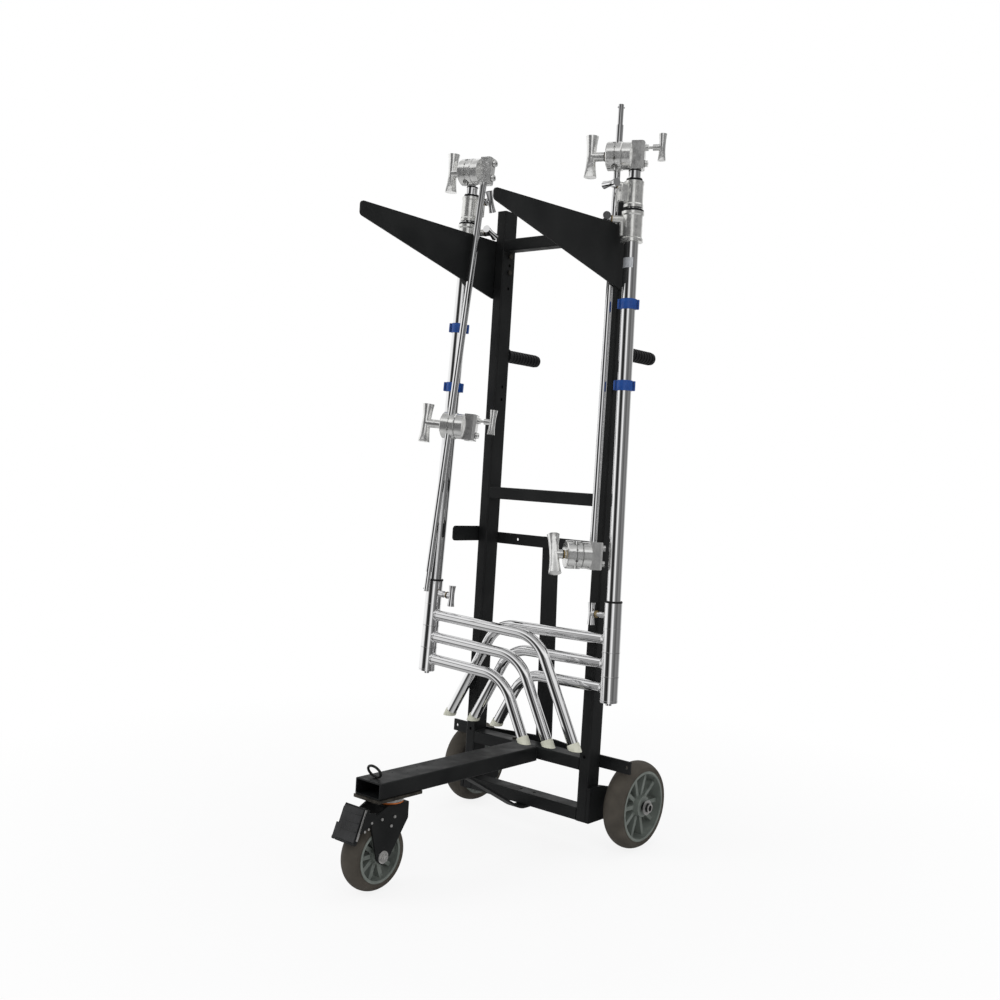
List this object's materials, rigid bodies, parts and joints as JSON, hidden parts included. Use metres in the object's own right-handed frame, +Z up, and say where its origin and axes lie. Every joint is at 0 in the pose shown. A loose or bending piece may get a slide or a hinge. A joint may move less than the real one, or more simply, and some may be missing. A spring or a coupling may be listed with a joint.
{
  "type": "lighting stand cart",
  "caption": "Wheeled steel cart with hanger plates, a towing tongue and braked caster, carrying two folding chrome stands with grip heads and arms",
  "frame": {"origin": "on the floor, under the middle of the whole cart", "axes": "+Z up, +X to the right of the cart seen from its front, +Y from the towing tongue towards the rear wheels"},
  "size_m": [0.574, 0.7778, 1.6844],
  "materials": {
    "black_steel": "satin black powder coat",
    "chrome": "bright chrome plate",
    "cast_alloy": "bright satin casting",
    "zinc_steel": "zinc plated",
    "tyre": "matt brown-grey rubber",
    "wheel_centre": "grey-green moulding",
    "grip_rubber": "matt ribbed rubber",
    "band": "matt"
  },
  "bodies": {
    "cart": {"upright_left": "black_steel", "upright_right": "black_steel", "top_crossbar": "black_steel", "middle_crossbar": "black_steel", "upper_base_crossbar": "black_steel", "lower_base_crossbar": "black_steel", "hanger_left": "black_steel", "hanger_right": "black_steel", "rear_middle_bar": "black_steel", "rear_lower_bar": "black_steel", "rear_post": "black_steel", "tongue": "black_steel", "tongue_brace": "black_steel", "handle_grips": "grip_rubber", "rear_axles": "black_steel", "caster_plate": "zinc_steel", "frame_bolts": "black_steel"},
    "rear_wheel_left": {"rear_hub_left": "wheel_centre", "rear_tyre_left": "tyre"},
    "rear_wheel_right": {"rear_hub_right": "wheel_centre", "rear_tyre_right": "tyre"},
    "caster": {"caster_fork": "black_steel", "caster_fasteners": "zinc_steel"},
    "caster_wheel": {"caster_hub": "wheel_centre", "caster_tyre": "tyre"},
    "brake_pedal": {"brake_pedal": "black_steel"},
    "stand_left": {"column_left": "chrome", "column_bands_left": "band", "base_sleeve_left": "chrome", "leg_top_left": "chrome"},
    "leg_middle_left": {"leg_middle_left": "chrome"},
    "leg_bottom_left": {"leg_bottom_left": "chrome"},
    "knob_base_left": {"knob_base_left": "chrome"},
    "knob_lower_left": {"knob_lower_left": "chrome"},
    "knob_upper_left": {"knob_upper_left": "chrome"},
    "riser_middle_left": {"riser_middle_left": "chrome"},
    "stand_right": {"column_right": "chrome", "column_bands_right": "band", "base_sleeve_right": "chrome", "leg_top_right": "chrome"},
    "leg_middle_right": {"leg_middle_right": "chrome"},
    "leg_bottom_right": {"leg_bottom_right": "chrome"},
    "knob_base_right": {"knob_base_right": "chrome"},
    "knob_lower_right": {"knob_lower_right": "chrome"},
    "knob_upper_right": {"knob_upper_right": "chrome"},
    "riser_middle_right": {"riser_middle_right": "chrome"},
    "riser_top_left": {"riser_top_left": "chrome", "arm_jaws_left": "cast_alloy"},
    "arm_left": {"arm_left": "chrome"},
    "arm_handle_left": {"arm_handle_left": "cast_alloy"},
    "head_jaws_left": {"head_jaws_left": "cast_alloy"},
    "head_block_left": {"head_block_left": "cast_alloy"},
    "head_handle_left": {"head_handle_left": "cast_alloy"},
    "riser_top_right": {"riser_top_right": "chrome", "head_block_right": "cast_alloy", "head_jaws_right": "cast_alloy"},
    "head_handle_right": {"head_handle_right": "cast_alloy"},
    "arm_right": {"arm_right": "chrome"},
    "arm_jaws_right": {"arm_jaws_right": "cast_alloy"},
    "arm_handle_right": {"arm_handle_right": "cast_alloy"}
  },
  "joints": [
    {"name": "rear_wheel_left_spin", "type": "hinge", "parent": "cart", "child": "rear_wheel_left", "pos_m": [-0.244, 0.28893, 0.1], "axis": [1, 0, 0], "continuous": true},
    {"name": "rear_wheel_right_spin", "type": "hinge", "parent": "cart", "child": "rear_wheel_right", "pos_m": [0.244, 0.28893, 0.1], "axis": [1, 0, 0], "continuous": true},
    {"name": "caster_swivel", "type": "hinge", "parent": "cart", "child": "caster", "pos_m": [0, -0.2687, 0.17614], "axis": [0, 0.0359, 0.9994], "continuous": true},
    {"name": "caster_spin", "type": "hinge", "parent": "caster", "child": "caster_wheel", "pos_m": [0, -0.30835, 0.075], "axis": [1, 0, 0], "continuous": true},
    {"name": "brake_pedal_swing", "type": "hinge", "parent": "caster", "child": "brake_pedal", "pos_m": [0, -0.34316, 0.16441], "axis": [-1, 0, 0], "range_deg": [0, 12]},
    {"name": "stand_left_lift", "type": "slide", "parent": "cart", "child": "stand_left", "axis": [0, 0.0359, 0.9994], "range_m": [0, 0.06]},
    {"name": "leg_middle_left_fold", "type": "hinge", "parent": "stand_left", "child": "leg_middle_left", "pos_m": [-0.25309, 0.10469, 0.36155], "axis": [-0.0349, -0.0493, -0.9982], "range_deg": [0, 45]},
    {"name": "leg_bottom_left_fold", "type": "hinge", "parent": "stand_left", "child": "leg_bottom_left", "pos_m": [-0.25309, 0.10469, 0.36155], "axis": [-0.0349, -0.0493, -0.9982], "range_deg": [0, 45]},
    {"name": "knob_base_left_turn", "type": "hinge", "parent": "stand_left", "child": "knob_base_left", "pos_m": [-0.24653, 0.11395, 0.54921], "axis": [0.9994, -0.0017, -0.0349], "range_deg": [0, 90]},
    {"name": "knob_lower_left_turn", "type": "hinge", "parent": "stand_left", "child": "knob_lower_left", "pos_m": [-0.21589, 0.15719, 1.42561], "axis": [0.9653, 0.2568, -0.0464], "range_deg": [0, 90]},
    {"name": "knob_upper_left_turn", "type": "hinge", "parent": "riser_middle_left", "child": "knob_upper_left", "pos_m": [-0.21341, 0.16069, 1.49648], "axis": [0.998, 0.0506, -0.0374], "range_deg": [-40, 0]},
    {"name": "riser_middle_left_slide", "type": "slide", "parent": "stand_left", "child": "riser_middle_left", "axis": [0.0349, 0.0493, 0.9982], "range_m": [0, 0.08]},
    {"name": "riser_top_left_slide", "type": "slide", "parent": "riser_middle_left", "child": "riser_top_left", "axis": [0.0349, 0.0493, 0.9982], "range_m": [0, 0.07]},
    {"name": "stand_right_lift", "type": "slide", "parent": "cart", "child": "stand_right", "axis": [0, 0.0359, 0.9994], "range_m": [0, 0.06]},
    {"name": "leg_middle_right_fold", "type": "hinge", "parent": "stand_right", "child": "leg_middle_right", "pos_m": [0.23841, 0.17311, 0.35794], "axis": [-0.0166, 0.0359, 0.9992], "range_deg": [0, 4]},
    {"name": "leg_bottom_right_fold", "type": "hinge", "parent": "stand_right", "child": "leg_bottom_right", "pos_m": [0.23841, 0.17311, 0.35794], "axis": [-0.0166, 0.0359, 0.9992], "range_deg": [0, 4]},
    {"name": "knob_base_right_turn", "type": "hinge", "parent": "stand_right", "child": "knob_base_right", "pos_m": [0.23529, 0.17985, 0.54579], "axis": [-0.9999, -0.0006, -0.0166], "range_deg": [-12, 12]},
    {"name": "knob_lower_right_turn", "type": "hinge", "parent": "stand_right", "child": "knob_lower_right", "pos_m": [0.22073, 0.21132, 1.42311], "axis": [-0.743, -0.6691, 0.0117], "range_deg": [0, 60]},
    {"name": "knob_upper_right_turn", "type": "hinge", "parent": "riser_middle_right", "child": "knob_upper_right", "pos_m": [0.21956, 0.21387, 1.49405], "axis": [-0.4067, -0.9132, 0.026], "range_deg": [0, 90]},
    {"name": "riser_middle_right_slide", "type": "slide", "parent": "stand_right", "child": "riser_middle_right", "axis": [-0.0166, 0.0359, 0.9992], "range_m": [0, 0.12]},
    {"name": "riser_top_right_slide", "type": "slide", "parent": "riser_middle_right", "child": "riser_top_right", "axis": [-0.0166, 0.0359, 0.9992], "range_m": [0, 0.12]},
    {"name": "arm_left_swing", "type": "hinge", "parent": "riser_top_left", "child": "arm_left", "pos_m": [-0.16687, 0.15565, 1.56573], "axis": [-0.9897, -0.1374, 0.0414], "range_deg": [0, 30]},
    {"name": "arm_handle_left_turn", "type": "hinge", "parent": "arm_left", "child": "arm_handle_left", "pos_m": [-0.16687, 0.15565, 1.56573], "axis": [0.9897, 0.1374, -0.0414], "range_deg": [0, 90]},
    {"name": "head_jaws_left_slide", "type": "slide", "parent": "arm_left", "child": "head_jaws_left", "axis": [0.0236, 0.1284, 0.9914], "range_m": [0, 0.03]},
    {"name": "head_block_left_turn", "type": "hinge", "parent": "head_jaws_left", "child": "head_block_left", "pos_m": [-0.14733, 0.10603, 0.95441], "axis": [0.9273, 0.3677, -0.0697], "range_deg": [0, 60]},
    {"name": "head_handle_left_turn", "type": "hinge", "parent": "head_jaws_left", "child": "head_handle_left", "pos_m": [-0.14733, 0.10603, 0.95441], "axis": [0.9273, 0.3677, -0.0697], "range_deg": [0, 90]},
    {"name": "head_handle_right_turn", "type": "hinge", "parent": "riser_top_right", "child": "head_handle_right", "pos_m": [0.21839, 0.2164, 1.56449], "axis": [0.9205, 0.3906, -0.0116], "range_deg": [0, 90]},
    {"name": "arm_right_slide", "type": "slide", "parent": "riser_top_right", "child": "arm_right", "axis": [-0.0088, 0.0503, 0.9987], "range_m": [0, 0.15]},
    {"name": "arm_jaws_right_turn", "type": "hinge", "parent": "arm_right", "child": "arm_jaws_right", "pos_m": [0.18138, 0.16841, 0.67643], "axis": [0.6428, 0.7653, -0.0329], "range_deg": [0, 90]},
    {"name": "arm_handle_right_turn", "type": "hinge", "parent": "arm_right", "child": "arm_handle_right", "pos_m": [0.18138, 0.16841, 0.67643], "axis": [0.6428, 0.7653, -0.0329], "range_deg": [0, 90]}
  ]
}
